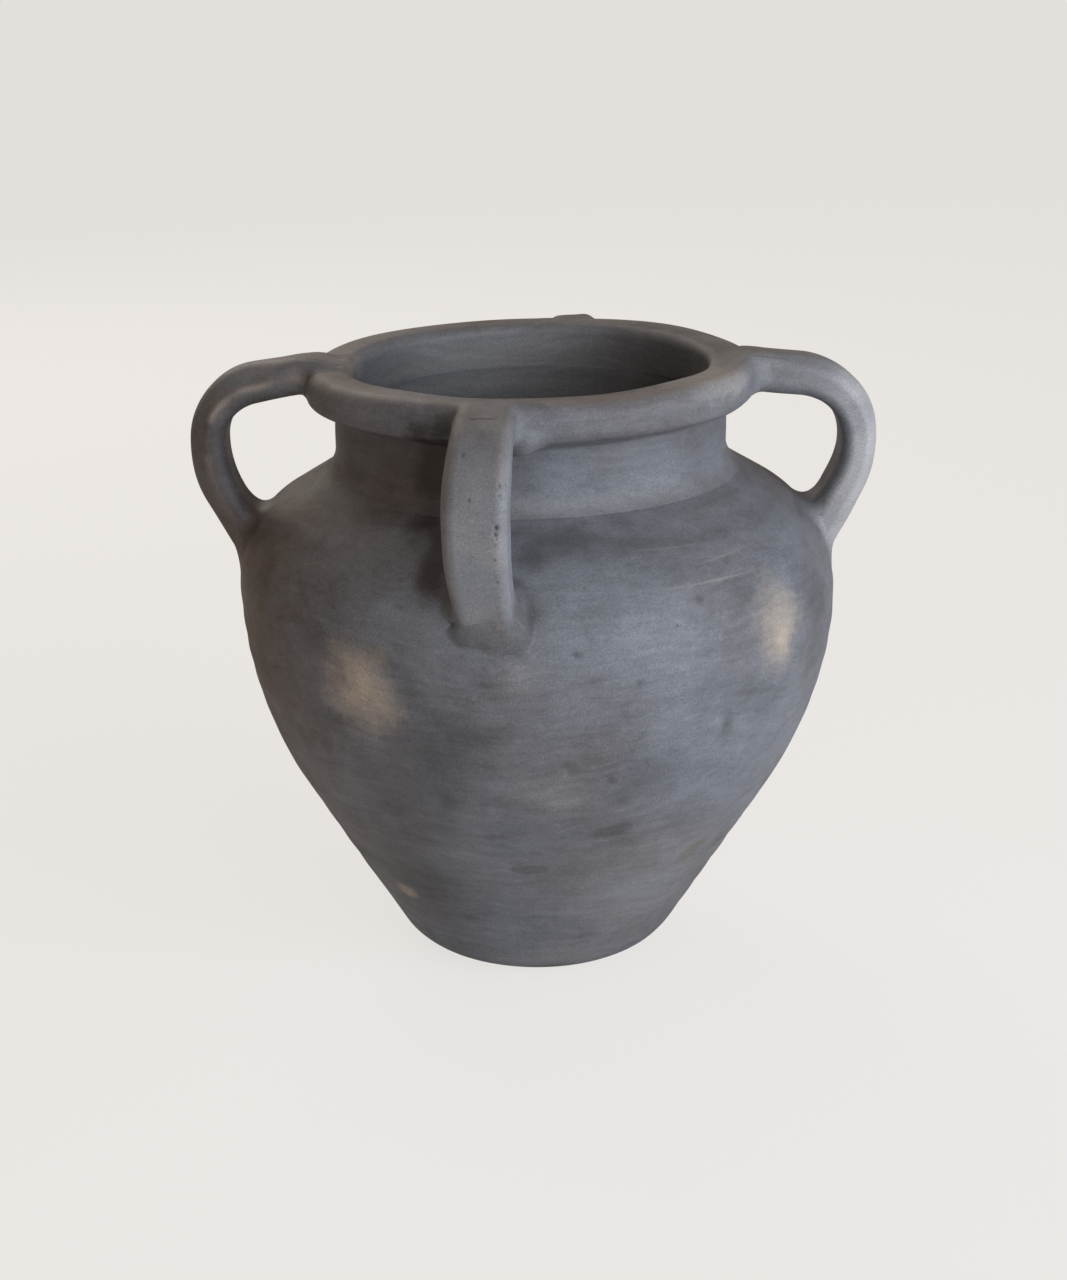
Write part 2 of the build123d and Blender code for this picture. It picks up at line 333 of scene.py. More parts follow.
WALL_CORNERS = [
    (0.0, 0.0),
    (BASE_CORNER_RADIUS, 0.0),
    (BELLY_RADIUS, FLANK_CORNER_HEIGHT),
    (BELLY_RADIUS, SHOULDER_CORNER_HEIGHT),
    (NECK_RADIUS, NECK_CORNER_HEIGHT),
    (NECK_RADIUS, RIM_UNDERSIDE),
]
RIM_CORNERS = [
    (RIM_RADIUS, RIM_UNDERSIDE + RIM_SLOPE),
    (RIM_RADIUS, RIM_TOP),
    (BORE_RADIUS, RIM_TOP),
    (BORE_RADIUS, RIM_UNDERSIDE),
]
OUTER_RADII = [radius * MM for radius in (48.0, 248.0, 67.0, 20.0, 2.5, 6.0, 10.0, 7.0)]
INNER_RADII = [radius * MM for radius in (24.0, 236.0, 55.0, 32.0)]
OUTER_LINE = Line(rounded_line(WALL_CORNERS + RIM_CORNERS, OUTER_RADII))
INNER_LINE = Line(rounded_line(inset(WALL_CORNERS, [FLOOR] + [WALL] * 4), INNER_RADII), side=-1)


def around_wall(azimuth, height):
    """Angle in radians, and distance along the outer wall, of a spot at an azimuth and a height."""
    return radians(azimuth), OUTER_LINE.where_height(height)


def lean(points):
    """The neck and rim sit askew: up a smooth step in height, x shifts and z rises in proportion to x."""
    form = bpy.context.scene.olla_form
    amount = smooth_step(LEAN_START, NECK_JOINT[0], points[..., 2])
    leant = points.copy()
    leant[..., 0] += form.lean_shift * amount
    leant[..., 2] += form.lean_rise * points[..., 0] * amount
    return leant


def upright_wall(line, theta, distance, relief=0.0):
    """Point at an angle round the pot and a distance along a wall line, raised out of the clay by relief."""
    radius, height = line.at(distance)
    out_r, out_z = line.normal_at(distance)
    radius = radius + relief * out_r
    height = height + relief * out_z
    theta, radius, height = np.broadcast_arrays(theta, radius, height)
    return np.stack([radius * np.cos(theta), radius * np.sin(theta), height], axis=-1)


def on_wall(line, theta, distance, relief=0.0):
    """The same point where the pot leans."""
    return lean(upright_wall(line, theta, distance, relief))


def swells(theta, along, count, turns, shortest, longest, seed):
    """Sum of waves over the surface, of mean square 1, with random turns round it, lengths and phases."""
    random = np.random.default_rng(seed)
    total = 0.0
    for _ in range(count):
        wave = random.integers(-turns, turns + 1) * theta
        wave = wave + tau * along / random.uniform(shortest, longest) + random.uniform(0.0, tau)
        total = total + np.cos(wave)
    return total * np.sqrt(2.0 / count)


def strokes(theta, along, radius, count, seed):
    """Sum of long low bumps and hollows, exp(-x^2 - y^2) along and across each scraper stroke."""
    random = np.random.default_rng(seed)
    total = np.zeros(np.broadcast_shapes(theta.shape, along.shape))
    for _ in range(count):
        middle, place = random.uniform(0.0, tau), random.uniform(0.0, OUTER_LINE.length)
        half_length, half_width = random.uniform(22.0, 55.0) * MM, random.uniform(5.0, 11.0) * MM
        slant, height = random.uniform(-0.22, 0.22), random.uniform(-1.0, 0.8)
        across = (np.mod(theta - middle + np.pi, tau) - np.pi) * radius
        up = along - place
        far, aside = (across + slant * up) / half_length, (up - slant * across) / half_width
        total += height * np.exp(-far ** 2 - aside ** 2)
    return total


# Dents in the outer wall: azimuth, height, half width, half height and depth in mm, and how dark its painted
# shade is
DENTS = (
    (-83.2, 262.4, 2.6, 2.2, 1.4, 1),
    (-71.8, 242, 2.4, 2.4, 1, 1),
    (-75.8, 178, 2.2, 2, 0.8, 1),
    (-52.3, 203.5, 4.6, 8.5, 1.3, 0.8),
    (-58, 286, 3, 2.4, 0.7, 0.8),
    (35, 212, 5, 3.5, 1, 0.8),
    (118, 240, 3.4, 4.2, 1, 0.8),
    (150, 150, 6, 3, 1, 0.8),
    # Gouge left of the front handle under the rim: its darkness is painted shadow, as the light falls from
    # the right
    (-110.5, 384, 8.5, 11, 3.2, 1.2),
    (180, 285, 70, 42, 1.3, 0),
    (185, 190, 80, 60, 0.9, 0),
    (0, 285, 60, 36, 0.8, 0),
)


def spot(theta, distance, radius, azimuth, height, half_width, half_height):
    """Bell of height 1 about one spot of the outer wall, exp(-x^2 - y^2) in half widths and half heights."""
    middle, place = around_wall(azimuth, height)
    across = (np.mod(theta - middle + np.pi, tau) - np.pi) * radius
    return np.exp(-(across / half_width) ** 2 - ((distance - place) / half_height) ** 2)


def outer_relief(theta, distance):
    """Height of the hand-worked surface over the true wall, and how dark it is painted with shade in its
    dents, from 0 to 1.

    Swells, rings and strokes fade out on the base, so that it stands flat. Dents come on top.
    """
    form = bpy.context.scene.olla_form
    radius = np.maximum(OUTER_LINE.at(distance)[0], 1.0 * MM)
    relief = form.out_of_round * 0.45 * swells(theta, distance, 9, 4, 0.18, 0.6, 3)
    wander = 0.9 * swells(theta, distance, 6, 3, 0.2, 0.5, 4)
    strength = 0.65 + 0.35 * swells(theta, distance, 6, 5, 0.08, 0.3, 5)
    relief = relief + form.ring_height * strength * np.sin(tau * distance / form.ring_spacing + wander)
    relief = relief + form.stroke_depth * strokes(theta, distance, radius, STROKE_COUNT, 6)
    on_rim = smooth_step(-4.0 * MM, 6.0 * MM, distance - OUTER_LINE.where_height(RIM_UNDERSIDE))
    relief = relief + RIM_SWELL * on_rim * swells(theta, distance, 10, 9, 0.1, 0.4, 15)
    relief = relief * smooth_step(*BASE_FADE, distance)
    hollow = np.zeros_like(relief)
    for azimuth, *sizes, dark in DENTS:
        height, half_width, half_height, depth = (size * MM for size in sizes)
        bell = spot(theta, distance, radius, azimuth, height, half_width, half_height)
        relief = relief - depth * bell
        hollow = np.maximum(hollow, dark * bell)
    return relief, hollow


def inner_relief(theta, distance):
    """Height of the inside over its true wall: swells and finger rings, which fade out on the floor."""
    relief = INSIDE_SWELL * swells(theta, distance, 8, 4, 0.15, 0.5, 8)
    wander = 0.8 * swells(theta, distance, 5, 2, 0.2, 0.5, 9)
    relief = relief + INSIDE_RING * np.sin(tau * distance / INSIDE_RING_SPACING + wander)
    return relief * smooth_step(*FLOOR_FADE, distance)


def grid_normals(points):
    """Unit normals of a grid that closes along its columns, from the cross product of its two slopes."""
    down = np.gradient(points, axis=0)
    across = np.roll(points, -1, axis=1) - np.roll(points, 1, axis=1)
    normal = np.cross(across, down)
    return normal / np.maximum(np.linalg.norm(normal, axis=-1, keepdims=True), 1e-12)


def clay_piece(node, points, poles=None, sharp_rows=(), **amounts):
    """Closed clay piece from a grid of points that stands for a node of the frame.

    Columns close on themselves. With poles, each end row closes to a point, and without, the last row joins
    the first. Faces are turned outwards by the sign of the enclosed volume, the sum of a . (b x c) over
    triangles. amounts go to the material point by point: how dark it is with smoke and with painted shade in
    its hollows and creases, how pale it is rubbed and painted with highlight, how pale with ash and painted
    light, and whether it was turned.
    """
    rows, columns = points.shape[:2]
    index = np.arange(rows * columns).reshape(rows, columns)
    upper, lower = (index[:-1], index[1:]) if poles is not None else (index, np.roll(index, -1, axis=0))
    quads = np.stack([upper, lower, np.roll(lower, -1, axis=1), np.roll(upper, -1, axis=1)], axis=-1)
    quads = quads.reshape(-1, 4)
    vertices = points.reshape(-1, 3)
    caps = np.zeros((0, 3), int)
    if poles is not None:
        vertices = np.concatenate([vertices, np.array(poles)])
        first, last = index[0], index[-1]
        start = np.stack([np.full(columns, rows * columns), first, np.roll(first, -1)], axis=1)
        end = np.stack([np.full(columns, rows * columns + 1), np.roll(last, -1), last], axis=1)
        caps = np.concatenate([start, end])
    triangles = np.concatenate([quads[:, [0, 1, 2]], quads[:, [0, 2, 3]], caps])
    a, b, c = (vertices[triangles[:, i]] for i in range(3))
    if (a * np.cross(b, c)).sum() < 0.0:
        quads, caps = quads[:, ::-1], caps[:, ::-1]

    mesh = bpy.data.meshes.new(node + "_clay")
    mesh.vertices.add(len(vertices))
    mesh.vertices.foreach_set("co", vertices.ravel())
    corners = np.concatenate([quads.ravel(), caps.ravel()]).astype(np.int32)
    mesh.loops.add(len(corners))
    mesh.loops.foreach_set("vertex_index", corners)
    starts = np.concatenate([4 * np.arange(len(quads)), 4 * len(quads) + 3 * np.arange(len(caps))])
    mesh.polygons.add(len(starts))
    mesh.polygons.foreach_set("loop_start", starts.astype(np.int32))
    mesh.polygons.foreach_set("use_smooth", np.ones(len(starts), bool))
    mesh.update(calc_edges=True)

    ends = np.empty(2 * len(mesh.edges), np.int32)
    mesh.edges.foreach_get("vertices", ends)
    row = ends.reshape(-1, 2) // columns
    sharp = (row[:, 0] == row[:, 1]) & np.isin(row[:, 0], sharp_rows)
    mesh.attributes.new("sharp_edge", "BOOLEAN", "EDGE").data.foreach_set("value", sharp)
    for name in ("hollow", "rubbed", "ashed", "turned"):
        amount = np.zeros(len(vertices), np.float32)
        amount[:rows * columns] = np.broadcast_to(amounts.get(name, 0.0), (rows, columns)).ravel()
        mesh.attributes.new(name, "FLOAT", "POINT").data.foreach_set("value", amount)

    piece = bpy.data.objects.new(node + "_clay", mesh)
    bpy.context.scene.collection.objects.link(piece)
    mesh.materials.append(blackened_clay())
    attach(piece, "root")
    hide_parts(node)


def wall_rows(start, stop, spacing):
    """Distances along a wall line from start to stop, evenly spaced."""
    return np.linspace(start, stop, max(2, int(abs(stop - start) / spacing) + 1))[:, None]


def columns_round():
    """Angles of the columns round the pot."""
    return np.linspace(0.0, tau, ROUND_COLUMNS, endpoint=False)[None, :]


def both_walls(theta, outer, inner, relief, hollow):
    """Points up the outer line, raised by relief, and on down the inner line, and how dark each is painted.

    The inner line has its own relief, and smoke with painted shade all over.
    """
    inside = on_wall(INNER_LINE, theta, inner, inner_relief(theta, inner))
    points = np.concatenate([on_wall(OUTER_LINE, theta, outer, relief), inside])
    return points, np.concatenate([hollow, np.full(inside.shape[:2], INSIDE_SMOKE_AND_SHADE)])


def far_side(theta):
    """How much a place round the inside faces the lamps: the cube of a cosine, 1 on the far side."""
    return np.clip(np.cos(theta - radians(FAR_SIDE)), 0.0, 1.0) ** 3


def ring_piece(node, low_joint, high_joint, outer_spacing, inner_spacing):
    """Wall piece between two joints: up its outer line, across the joint, down its inner line and back."""
    theta = columns_round()
    up = [OUTER_LINE.where_height(joint[0]) for joint in (low_joint, high_joint)]
    down = [INNER_LINE.where_height(joint[1]) for joint in (high_joint, low_joint)]
    outer, inner = wall_rows(*up, outer_spacing), wall_rows(*down, inner_spacing)
    points, hollow = both_walls(theta, outer, inner, *outer_relief(theta, outer))
    corners = (0, len(outer) - 1, len(outer), len(points) - 1)
    clay_piece(node, points, sharp_rows=corners, hollow=hollow, turned=1.0)


def wall_gap(points, start, stop):
    """Distance of points outside the outer wall, the nearest distance along its line, and the way out there.

    The line is sampled from start to stop. The gap to the nearest sample is taken along its normal, less the
    relief there.
    """
    x, y, z = np.moveaxis(points, -1, 0)
    radius, theta = np.hypot(x, y), np.arctan2(y, x)
    along = OUTER_LINE.nearest(np.arange(start, stop, SAMPLE), radius, z)
    (line_radius, line_height), (out_r, out_z) = OUTER_LINE.at(along), OUTER_LINE.normal_at(along)
    gap = (radius - line_radius) * out_r + (z - line_height) * out_z - outer_relief(theta, along)[0]
    return gap, along, np.stack([out_r * np.cos(theta), out_r * np.sin(theta), out_z], axis=-1)


def evened(values, times=6):
    """Values round a ring, each averaged with its neighbours by quarter, half and quarter, so many times."""
    for _ in range(times):
        values = (np.roll(values, 1) + 2.0 * values + np.roll(values, -1)) / 4.0
    return values


def crossing(over, *values):
    """Values where a grid's columns first rise above 0, in proportion between two rows, and evened.

    A column that stays below 0 gives those of its highest row.
    """
    reached = over.max(axis=0) > 0.0
    after = np.maximum(np.where(reached, np.argmax(over > 0.0, axis=0), np.argmax(over, axis=0)), 1)
    column = np.arange(over.shape[1])
    before, beyond = over[after - 1, column], over[after, column]
    share = np.clip(before / (before - beyond), 0.0, 1.0)
    grids = [np.broadcast_to(value, over.shape) for value in values]
    return [evened(grid[after - 1, column] * (1.0 - share) + grid[after, column] * share) for grid in grids]


class Strap:
    """One handle strap: its centreline in radius and height, and its section across it."""

    def __init__(self, side):
        sizes = bpy.context.scene.olla_straps
        self.side = side
        self.shape = shape = HANDLES[side]
        self.azimuth = radians(shape["azimuth"])
        top, droop, reach, bend = (shape[name] * MM for name in ("top", "droop", "reach", "bend"))
        elbow, foot = np.array([reach, shape["elbow"] * MM]), np.array(shape["foot"]) * MM
        inwards = (foot - elbow) / np.linalg.norm(foot - elbow)
        rim = np.array([RIM_RADIUS - STRAP_SEAT, top])
        bend_turn = np.pi / 2 - np.arctan2(droop, reach - rim[0])
        elbow_turn = np.arctan2(-inwards[0], -inwards[1])
        upright = top - droop - bend * np.tan(bend_turn / 2) - elbow[1]
        self.line = Line(rounded_line(
            [rim - STRAP_RIM_ROOT, rim, (reach, top - droop), elbow, foot + inwards * STRAP_FOOT_ROOT],
            [STRAP_RIM_BEND, bend, 0.97 * upright / np.tan(elbow_turn / 2)],
        ))
        self.rim = STRAP_RIM_END
        self.foot = self.line.length - STRAP_FOOT_ROOT
        half_width, half_thick = sizes.width / 2, max(shape["thick"]) / 2 * MM
        side_sign = np.sign(shape["ridge"])
        outlines = []
        upper, lower = (radius * MM for radius in shape["rounding"])
        cut = abs(shape["ridge"]) * MM, shape["bevel"] * MM
        for ridge, bevel in (cut, (half_width - STRAP_PLAIN_EDGE, STRAP_PLAIN_EDGE)):
            outline = rounded_line(
                [
                    (0.0, -half_thick),
                    (half_width, -half_thick),
                    (half_width, half_thick - bevel),
                    (ridge, half_thick),
                    (-half_width, half_thick - STRAP_CROWN),
                    (-half_width, -half_thick),
                    (0.0, -half_thick),
                ],
                [STRAP_CORNERS[0], lower, min(upper, 2.0 * (half_width - ridge)), *STRAP_CORNERS[1:]],
            ) * (side_sign, 1.0)
            outlines.append(Line(outline[::int(side_sign)]))
        ring = np.linspace(0.0, 1.0, SECTION_POINTS, endpoint=False)
        self.bevelled, self.plain = (line.at(ring * line.length) for line in outlines)
        full = outlines[0]
        self.across_normal, self.out_normal = full.normal_at(full.clear(ring * full.length))
        self.around = ring * tau
        edges = (cut[0], half_thick), (half_width, half_thick - cut[1])
        self.edges = [np.array(edge) * (side_sign, 1.0) for edge in edges]
        self.bearing = np.arctan2(self.bevelled[1], self.bevelled[0])

    def smear(self, end, seed):
        """How far the clay at one end is smeared along the strap and out on the pot, round the section.

        The amounts on the four sides are mixed by the squares of the section's normal, and waver a little.
        """
        sides = (self.across_normal, -self.across_normal, self.out_normal, -self.out_normal)
        amounts = []
        for turn, values in enumerate(self.shape[end]):
            mixed = sum(np.maximum(normal, 0.0) ** 2 * value * MM for normal, value in zip(sides, values))
            amounts.append(evened(mixed, 60) * wavering(self.around, seed + turn, 0.08))
        return np.array(amounts) * bpy.context.scene.olla_straps.smear

    def past_rim(self, span, distance):
        """Smooth step from 0 to 1 between two distances past the rim."""
        return smooth_step(self.rim + span[0], self.rim + span[1], distance)

    def section(self, distance):
        """Place across the strap and out from its centreline of each point round its section.

        The strap is widest halfway, it thins from the rim down, its bevel opens out below the rim, and it
        sways to one side at the rim.
        """
        sizes = bpy.context.scene.olla_straps
        closed = self.past_rim(PLAIN_SPAN, distance)
        pairs = zip(self.bevelled, self.plain)
        across, out = ((1.0 - closed) * full + closed * flat for full, flat in pairs)
        middle = (self.rim + self.foot) / 2
        swell = np.cos(np.clip((distance - middle) / (self.foot - self.rim), -0.5, 0.5) * np.pi)
        width = sizes.end_width + (sizes.width - sizes.end_width) * swell
        near, far = self.shape["thick"]
        thick = near + (far - near) * smooth_step(self.rim + THIN_FROM, self.foot - THIN_TO, distance)
        sway = self.shape["sway"] * MM * self.past_rim(SWAY_SPAN, distance)
        return across * width / sizes.width + sway, out * thick / max(near, far)

    def place(self, distance, across, out):
        """Point at a distance along the strap, so far across it and so far out from its centreline."""
        radius, height = self.line.at(distance)
        run_radius, run_height = self.line.tangent_at(self.line.clear(distance))
        radius = radius - out * run_height
        height = height + out * run_radius
        cos, sin = np.cos(self.azimuth), np.sin(self.azimuth)
        x, y = radius * cos - across * sin, radius * sin + across * cos
        return np.stack(np.broadcast_arrays(x, y, height), axis=-1)

    def relief(self, around, distance):
        """Height of the strap over its true section: broad and fine swells along it."""
        seed = sum(map(ord, self.side))
        broad = 0.3 * MM * swells(around, distance, 10, 2, 0.06, 0.25, seed)
        return broad + 0.1 * MM * swells(around, distance, 12, 6, 0.03, 0.1, seed + 1)

    def surface(self, distance, raise_by=0.0):
        """Point of the strap's surface for each distance along it and each point round its section."""
        relief = self.relief(self.around, distance) + raise_by
        across, out = self.section(distance)
        return self.place(distance, across + relief * self.across_normal, out + relief * self.out_normal)

    def gap(self, points):
        """Distance of points outside the strap, and the way out there.

        The nearest of many samples of the centreline gives the section, and the nearest point round that the
        way out.
        """
        cos, sin = np.cos(self.azimuth), np.sin(self.azimuth)
        x, y, z = np.moveaxis(points, -1, 0)
        radius, aside = x * cos + y * sin, y * cos - x * sin
        samples = np.arange(END_MARGIN, self.line.length - END_MARGIN, SAMPLE)
        along = self.line.nearest(samples, radius, z)
        (line_radius, line_height), (run_r, run_z) = self.line.at(along), self.line.tangent_at(along)
        lift = (z - line_height) * run_r - (radius - line_radius) * run_z
        across, out = self.section(along[..., None])
        around = ((aside[..., None] - across) ** 2 + (lift[..., None] - out) ** 2).argmin(-1)
        across, out = (np.take_along_axis(ring, around[..., None], -1)[..., 0] for ring in (across, out))
        way_across, way_out = self.across_normal[around], self.out_normal[around]
        gap = (aside - across) * way_across + (lift - out) * way_out
        gap = gap - self.relief(self.around[around], along)
        way_r = -run_z * way_out
        way = [way_r * cos - way_across * sin, way_r * sin + way_across * cos, run_r * way_out]
        return gap, np.stack(way, axis=-1)

    def wear(self, distance):
        """How rubbed the strap is along the edges of its bevel, and how pale with ash and painted light on
        its outer face.
        """
        across, out = self.section(distance)
        patchy = np.clip(0.55 + 0.45 * swells(self.around, distance, 9, 2, 0.03, 0.12, 31), 0.0, 1.0)
        rubbed = np.zeros(across.shape)
        for edge, strength in zip(self.edges, self.shape["worn"]):
            from_edge = ((across - edge[0]) ** 2 + (out - edge[1]) ** 2) / EDGE_LINE_WIDTH ** 2
            rubbed = np.maximum(rubbed, strength * np.exp(-from_edge) * patchy)
        falling = self.past_rim(FALL_SPAN, distance)
        rubbed = rubbed * (1.0 + (self.shape["worn_low"] - 1.0) * falling)
        facing = smooth_step(-0.9, 0.3, self.out_normal)
        lower = self.past_rim(ASH_AND_LIGHT_SPAN, distance)
        return rubbed, self.shape["ashed"] * facing * (0.6 + 0.4 * patchy) * (0.3 + 0.7 * lower)

    def down_to(self, height):
        """Distance at which the falling part of the centreline reaches a height."""
        falling = slice(int(np.argmax(self.line.points[:, 1])), None)
        return float(np.interp(-height, -self.line.points[falling, 1], self.line.along[falling]))

    def meets(self, distance, window, upright_below):
        """Where the strap goes into the wall, for each point round its section.

        It gives the distance along the strap, the angle from the strap's middle and the distance along the
        wall. The gap to the wall is read along the strap. Below a height the wall goes straight down.
        """
        points = self.surface(distance)
        aside = np.mod(np.arctan2(points[..., 1], points[..., 0]) - self.azimuth + np.pi, tau) - np.pi
        below = np.minimum(points[..., 2] - upright_below, 0.0)
        points[..., 2] -= below
        gap, along, _ = wall_gap(points, *window)
        return crossing(-gap, distance, aside, along + below)


# Pits in the front strap's face, in mm: height, place across it, half size, depth
STRAP_PITS = (
    (348, 14, 1.3, 1.2),
    (344.5, 13.6, 1, 0.9),
    (342, 14.4, 0.6, 0.6),
    (339, 13.2, 0.7, 0.5),
    (366, 15, 0.7, 0.6),
    (362, 15.4, 0.6, 0.6),
    (360, -2, 0.7, 0.7),
    (378, -8, 1.3, 0.4),
    (331, 12.6, 0.9, 0.5),
    (318, 13, 1, 0.5),
)
# Nicks across the top of the front strap's bend: distance past the rim, place across, half length and depth
# in mm, slant
STRAP_NICKS = (
    (23, -5, 5, 0.8, 0.05),
    (24.4, 3, 4.5, 0.6, 0.1),
    (12, 13, 1.6, 0.9, 0),
)


def strap_piece(side):
    """Handle strap: its section carried along its centreline, with pits and nicks, closed at both ends."""
    strap = Strap(side)
    distance = np.linspace(0.0, strap.line.length, int(strap.line.length / STRAP_SPACING))[:, None]
    across, out = strap.section(distance)
    hollow = np.zeros(across.shape)
    pitted = np.zeros(across.shape)
    if side == "front":
        # Painted shade on the front strap's left flank, which faces away from the lamps
        hollow = hollow + 0.5 * smooth_step(0.35, 0.95, -strap.across_normal)
        # Pits and nicks are darkened with painted shade as well as sunk
        for pit in STRAP_PITS:
            height, aside, half_size, depth = (size * MM for size in pit)
            along = distance - strap.down_to(height)
            bell = np.exp(-(along ** 2 + (across - aside) ** 2) / half_size ** 2) * (out > 0.0)
            pitted -= depth * bell
            hollow = np.maximum(hollow, 1.8 * min(depth / MM, 1.0) * bell)
        for *sizes, slant in STRAP_NICKS:
            past_rim, aside, half_length, depth = (size * MM for size in sizes)
            over = (distance - strap.rim - past_rim - slant * (across - aside)) / NICK_WIDTH
            bell = np.exp(-over ** 2 - ((across - aside) / half_length) ** 4) * (out > 0.0)
            pitted -= depth * bell
            hollow = np.maximum(hollow, bell)
    rubbed, ashed = strap.wear(distance)
    points = lean(strap.surface(distance, pitted))
    ends = [lean(strap.place(np.array(end), 0.0, 0.0)) for end in (0.0, strap.line.length)]
    clay_piece(side + "_handle", points, poles=ends, hollow=hollow, rubbed=rubbed, ashed=ashed)


def pad_piece(node, strap, meeting, window, back, smear, seed, lumps, soot_and_shadow):
    """Clay smeared from a strap on to the pot, as a fillet round the line on which they meet.

    It starts on the strap, so far from the wall, and ends on the wall, so far from the strap. With a and b
    the gaps to strap and wall, each as a share of that distance, the fillet is where
    min(a, b) = (1 - |a - b|)^2 / 4, so it leaves both along their own slopes. A grid is laid between its
    two edges by a smooth step, and each point is moved on to the fillet along the slope of that equation.
    Swells and BUMPS raise it, and it closes back along the wall and up the strap, under their surfaces. A
    bump's bearing is the angle round the strap, 0 to its right and 90 on its face. Its place is the step.
    """
    meet, aside, along = meeting
    radius = OUTER_LINE.at(along)[0]
    run_aside, run_along = (np.roll(v, -1) - np.roll(v, 1) for v in (aside * radius, along))
    turn = np.sign((aside * radius * run_along - (along - along.mean()) * run_aside).sum())
    size = turn * np.hypot(run_aside, run_along)
    out_aside, out_along = evened(run_along / size), evened(-run_aside / size)

    def on_strap(run, raised=0.0):
        return strap.surface(meet + back * run, raised)

    def on_pot(run, raised=0.0):
        theta = strap.azimuth + aside + run * out_aside / radius
        distance = np.minimum(along + run * out_along, OUTER_LINE.length - END_MARGIN)
        return upright_wall(OUTER_LINE, theta, distance, outer_relief(theta, distance)[0] + raised)

    reach, = crossing(wall_gap(on_strap(PAD_RUNS), *window)[0] - smear[0], PAD_RUNS)
    spread, = crossing(strap.gap(on_pot(PAD_RUNS))[0] - smear[1], PAD_RUNS)
    spread = evened(np.minimum(spread, PAD_WIDEST), 12)
    from_wall = np.maximum(wall_gap(on_strap(reach[None, :]), *window)[0], 1.0 * MM)
    from_strap = np.maximum(strap.gap(on_pot(spread[None, :]))[0], 1.0 * MM)

    step = np.linspace(0.0, 1.0, PAD_ROWS)[:, None]
    over = smooth_step(0.0, 1.0, step)[..., None]
    points = (1.0 - over) * on_strap((1.0 - step) * reach) + over * on_pot(step * spread)
    for _ in range(PAD_ROUNDS):
        strap_gap, strap_way = strap.gap(points)
        gap, _, wall_way = wall_gap(points, *window)
        a, b = strap_gap / from_strap, gap / from_wall
        near = np.clip(1.0 - np.abs(a - b), 0.0, None)
        share = np.where(a < b, 1.0 - near / 2, near / 2)
        to_strap, to_wall = share / from_strap, (1.0 - share) / from_wall
        slope = to_strap[..., None] * strap_way + to_wall[..., None] * wall_way
        miss = (np.minimum(a, b) - near ** 2 / 4) / np.maximum((slope ** 2).sum(-1), 1e-6)
        points = points - np.clip(miss[..., None] * slope, -PAD_NUDGE, PAD_NUDGE)

    middle = np.sin(np.pi * step) ** 2
    full = np.minimum((reach + spread) / PAD_FULL, 1.0)
    raised = lumps * (0.6 + swells(strap.around, step, 12, 7, 0.7, 2.5, seed)) * middle * full - PAD_SINK
    # Painted shade in the middle of the front pad, where it fills the crease between strap and pot
    hollow = soot_and_shadow * smooth_step(0.0, 0.4, step) * smooth_step(1.0, 0.7, step) * np.ones(SECTION_POINTS)
    worn = strap.wear(meet + back * (1.0 - step) * reach)
    rubbed, ashed = (amount * smooth_step(0.9, 0.0, step) for amount in worn)
    for bearing, place, half_bearing, half_place, slant, height, dark in BUMPS.get(node, ()):
        round_by = np.degrees(strap.bearing) - bearing - slant * (step - place)
        round_by = np.mod(round_by + 180.0, 360.0) - 180.0
        bell = np.exp(-(round_by / half_bearing) ** 2 - ((step - place) / half_place) ** 2)
        raised = raised + height * MM * bell * np.sqrt(middle)
        hollow = np.maximum(hollow, dark * bell)
        rubbed = np.maximum(rubbed, -dark * bell)
    normals = grid_normals(points)
    row = points[PAD_ROWS // 3]
    outwards = np.sign((normals[PAD_ROWS // 3] * (row - row.mean(0))).sum())
    points = points + outwards * normals * raised[..., None]
    shares = np.array([0.0, 0.5, 0.95])[:, None]
    under = [on_pot(shares[::-1] * spread, -PAD_UNDER), on_strap(shares * reach, -PAD_UNDER)]
    points = lean(np.concatenate([points, *under]))
    turned = np.broadcast_to(smooth_step(0.4, 1.0, step), hollow.shape)
    amounts = {"hollow": hollow, "rubbed": rubbed, "ashed": ashed, "turned": turned}
    buried = np.zeros((2 * len(shares), SECTION_POINTS))
    amounts = {name: np.concatenate([amount, buried]) for name, amount in amounts.items()}
    clay_piece(node, points, sharp_rows=(0, PAD_ROWS - 1), **amounts)


def wavering(around, seed, share):
    """Uneven spread of a smear round a strap, about 1: waves of 1, 2, 3 and 5 turns."""
    random = np.random.default_rng(seed)
    total = 0.0
    for turns in (1, 2, 3, 5):
        phase, height = random.uniform(0.0, tau), random.uniform(0.4, 1.0)
        total = total + np.cos(turns * around + phase) * height / turns ** 0.5
    return 1.0 + share * total


# Thumb marks on the pads: bearing, place, half bearing, half place, slant, height in mm, and how dark with
# painted shade or, below 0, how pale
BUMPS = {
    "front_handle_foot_pad": (
        (100, 0.2, 45, 0.05, 0, -0.5, 0.4),
        (108, 0.5, 30, 0.16, 0, 0.9, 0),
        (138, 0.62, 24, 0.22, 0, 0.6, 0),
        (164, 0.6, 6, 0.34, 24, -1.4, 1.4),
        (128, 0.86, 5, 0.06, 0, -1, 1.2),
        (86, 0.9, 5, 0.06, 0, -0.8, 1.2),
        (50, 0.26, 8, 0.07, 0, 0.5, -0.5),
        (16, 0.45, 3, 0.14, 22, 0.5, -0.35),
        (18, 0.86, 22, 0.07, 0, 0.35, 0),
        (40, 0.8, 6, 0.12, 0, -0.6, 0.5),
    ),
    "front_handle_top_pad": ((-32, 0.5, 26, 0.3, 0, 6, 0),),
    "left_handle_top_pad": ((-95, 0.5, 40, 0.25, 0, 1.5, 0.3),),
}


